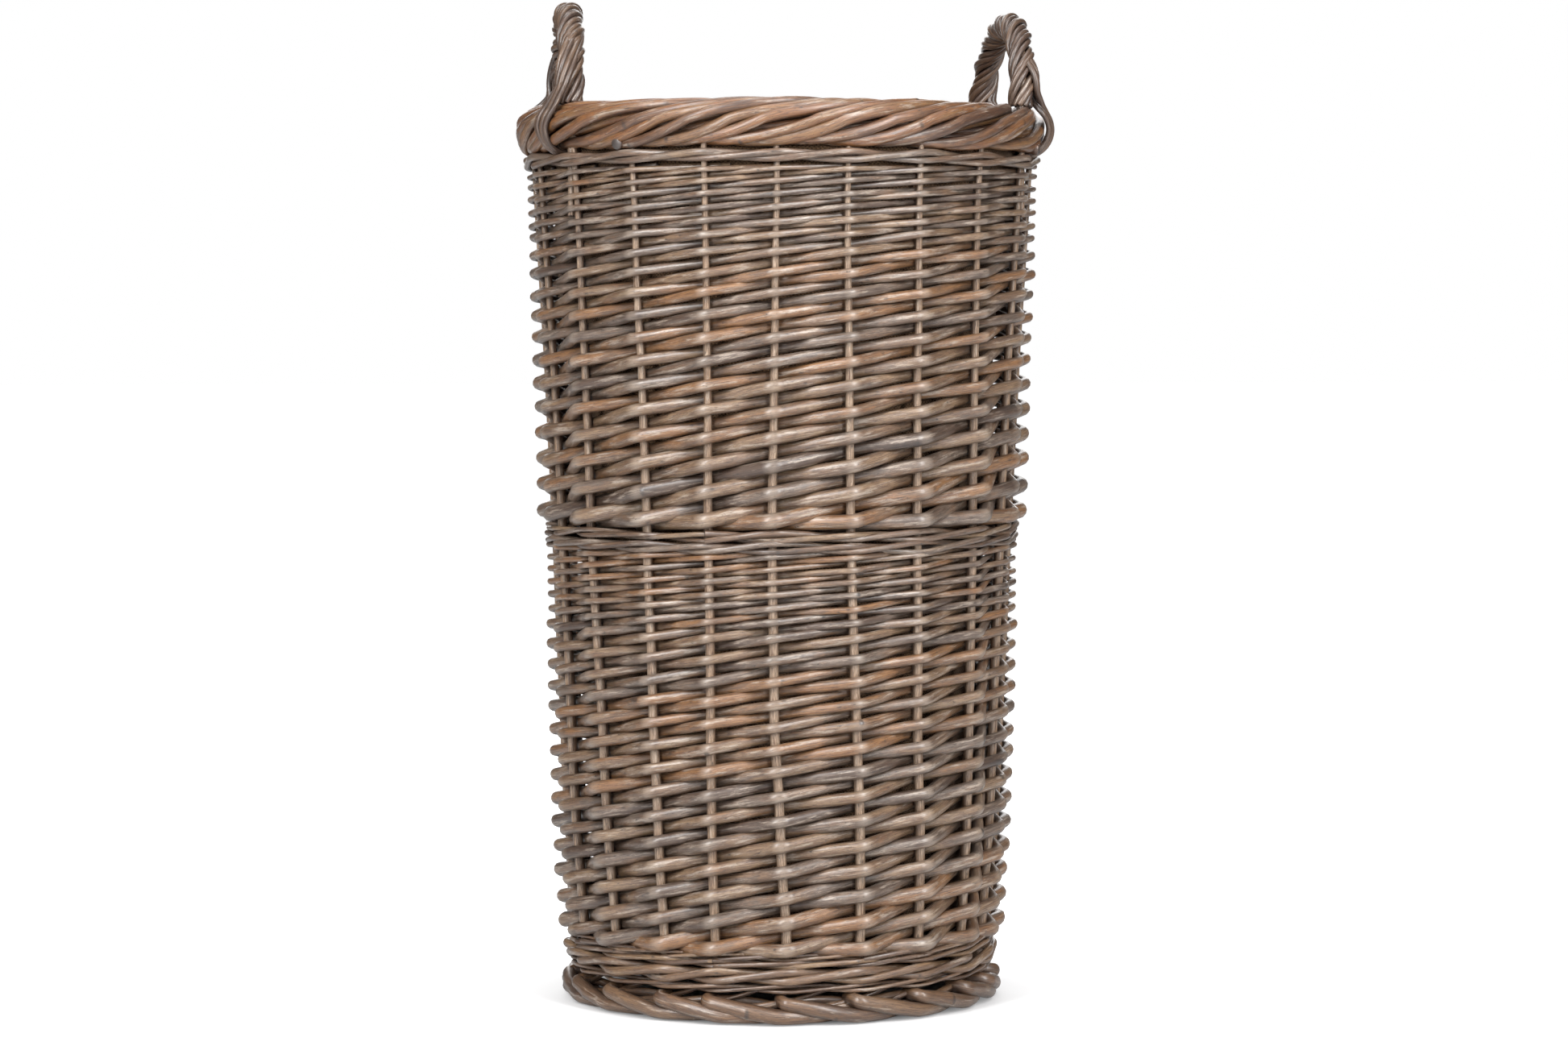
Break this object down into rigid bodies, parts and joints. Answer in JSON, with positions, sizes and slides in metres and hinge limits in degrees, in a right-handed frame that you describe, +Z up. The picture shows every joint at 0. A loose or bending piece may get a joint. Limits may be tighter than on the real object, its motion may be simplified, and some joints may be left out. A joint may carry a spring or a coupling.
{
  "type": "wicker log basket",
  "caption": "Tall round tapering log basket of woven willow with a rolled border, a rolled foot, a hessian lining and two rigid twisted-rope handles.",
  "frame": {"origin": "on the floor at the basket's axis, under the middle of its foot", "axes": "+Z up along the axis, +X towards the middle of one handle, -X towards the middle of the other"},
  "size_m": [0.4, 0.4, 0.745],
  "materials": {
    "stake_willow": "satin",
    "weaver_willow": "satin",
    "wale_willow": "satin",
    "border_willow": "satin",
    "handle_willow": "satin",
    "hessian": "matte"
  },
  "bodies": {
    "root": {"stake_01": "stake_willow", "stake_02": "stake_willow", "stake_03": "stake_willow", "stake_04": "stake_willow", "stake_05": "stake_willow", "stake_06": "stake_willow", "stake_07": "stake_willow", "stake_08": "stake_willow", "stake_09": "stake_willow", "stake_10": "stake_willow", "stake_11": "stake_willow", "stake_12": "stake_willow", "stake_13": "stake_willow", "stake_14": "stake_willow", "stake_15": "stake_willow", "stake_16": "stake_willow", "stake_17": "stake_willow", "stake_18": "stake_willow", "stake_19": "stake_willow", "stake_20": "stake_willow", "base_stick_1": "stake_willow", "base_stick_2": "stake_willow", "base_stick_3": "stake_willow", "base_stick_4": "stake_willow", "base_stick_5": "stake_willow", "base_weave": "weaver_willow", "upsett_wale": "wale_willow", "lower_rand": "weaver_willow", "waist_wale": "wale_willow", "upper_rand": "weaver_willow", "top_wale": "wale_willow", "foot_border": "border_willow", "rim_border": "border_willow", "hessian_lining": "hessian", "right_handle_bow": "handle_willow", "right_handle_rope": "handle_willow", "right_lashing_1": "handle_willow", "right_lashing_2": "handle_willow", "left_handle_bow": "handle_willow", "left_handle_rope": "handle_willow", "left_lashing_1": "handle_willow", "left_lashing_2": "handle_willow"}
  },
  "joints": []
}
